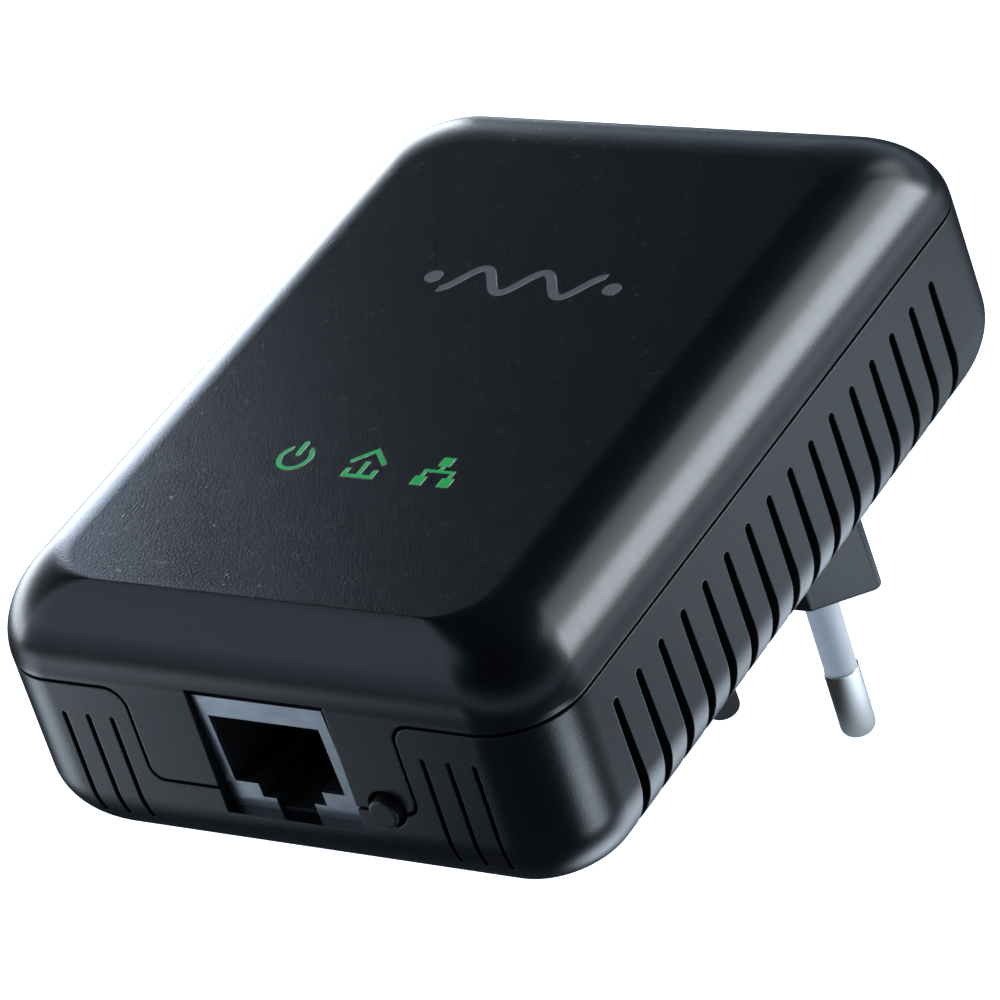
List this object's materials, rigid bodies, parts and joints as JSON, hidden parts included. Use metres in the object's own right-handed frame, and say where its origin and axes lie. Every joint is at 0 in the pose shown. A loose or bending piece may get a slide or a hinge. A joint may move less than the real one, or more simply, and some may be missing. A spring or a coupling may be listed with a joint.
{
  "type": "powerline adapter",
  "caption": "Plug-in powerline network adapter: rounded case with slotted sides, a network socket, a push button, lit icons and a round-pin mains plug on its back.",
  "frame": {"origin": "middle of the plug face, halfway between the two pins", "axes": "+Z runs away from the wall socket and out of the front face, +Y runs from the network socket end to the far end, +X to the right seen from the front with +Y up"},
  "size_m": [0.0678, 0.0931, 0.0735],
  "materials": {
    "case_front": "fine-grained moulded black",
    "case_rear": "satin moulded black",
    "button_plastic": "satin black",
    "screw_steel": "zinc plated",
    "inner_plastic": "moulded black",
    "pin_metal": "bright nickel plate",
    "sleeve_plastic": "light grey sleeve",
    "lead_brass": "plain brass strip",
    "jack_metal": "tinned sheet",
    "contact_gold": "gold plated wire",
    "plunger_plastic": "natural plastic",
    "icon_green": "translucent green",
    "led_white": "white lamp body",
    "board_green": "solder-mask green",
    "sheet_film": "thin insulating film",
    "chip_black": "moulded package",
    "sink_aluminium": "plain extrusion",
    "can_sleeve": "shrink sleeve",
    "ferrite": "ground ferrite",
    "coil_copper": "enamelled copper",
    "film_yellow": "potted box",
    "fuse_brown": "moulded fuse",
    "varistor_blue": "dipped coating",
    "crystal_metal": "drawn can"
  },
  "bodies": {
    "housing": {"front_cover": "case_front", "rear_shell": "case_rear", "housing_screws": "screw_steel", "pin_block": "inner_plastic", "jack_insert": "inner_plastic", "transformer_bobbin": "inner_plastic", "switch_body": "inner_plastic", "pin_line": "pin_metal", "pin_neutral": "pin_metal", "pin_sleeve_line": "sleeve_plastic", "pin_sleeve_neutral": "sleeve_plastic", "mains_lead_line": "lead_brass", "mains_lead_neutral": "lead_brass", "jack_shield": "jack_metal", "jack_contact_leads": "contact_gold", "light_guide_power": "icon_green", "light_guide_home": "icon_green", "light_guide_network": "icon_green", "led_power": "led_white", "led_home": "led_white", "led_network": "led_white", "main_board": "board_green", "insulating_sheet": "sheet_film", "powerline_chip": "chip_black", "memory_chip": "chip_black", "flash_chip": "chip_black", "lan_transformer": "chip_black", "power_controller": "chip_black", "optocoupler": "chip_black", "bridge_rectifier": "chip_black", "heat_sink": "sink_aluminium", "bulk_capacitor": "can_sleeve", "bulk_capacitor_2": "can_sleeve", "output_capacitor": "can_sleeve", "transformer_core": "ferrite", "filter_choke": "coil_copper", "powerline_coupler": "coil_copper", "film_capacitor": "film_yellow", "mains_fuse": "fuse_brown", "surge_varistor": "varistor_blue", "clock_crystal": "crystal_metal"},
    "button": {"button_cap": "button_plastic"},
    "plunger": {"switch_plunger": "plunger_plastic"},
    "contacts": {"jack_contact_springs": "contact_gold"}
  },
  "joints": [
    {"name": "button_press", "type": "slide", "parent": "housing", "child": "button", "axis": [0, 1, 0], "range_m": [0, 0.0005], "stiffness_N_per_m": 1500},
    {"name": "plunger_press", "type": "slide", "parent": "housing", "child": "plunger", "axis": [0, 1, 0], "range_m": [0, 0.0005]},
    {"name": "contact_flex", "type": "hinge", "parent": "housing", "child": "contacts", "pos_m": [0, -0.07235, 0.04142], "axis": [1, 0, 0], "range_deg": [0, 11], "stiffness_Nm_per_rad": 0.1}
  ],
  "couplings": [
    {"joint": "plunger_press", "follows": "button_press", "ratio": 1}
  ]
}
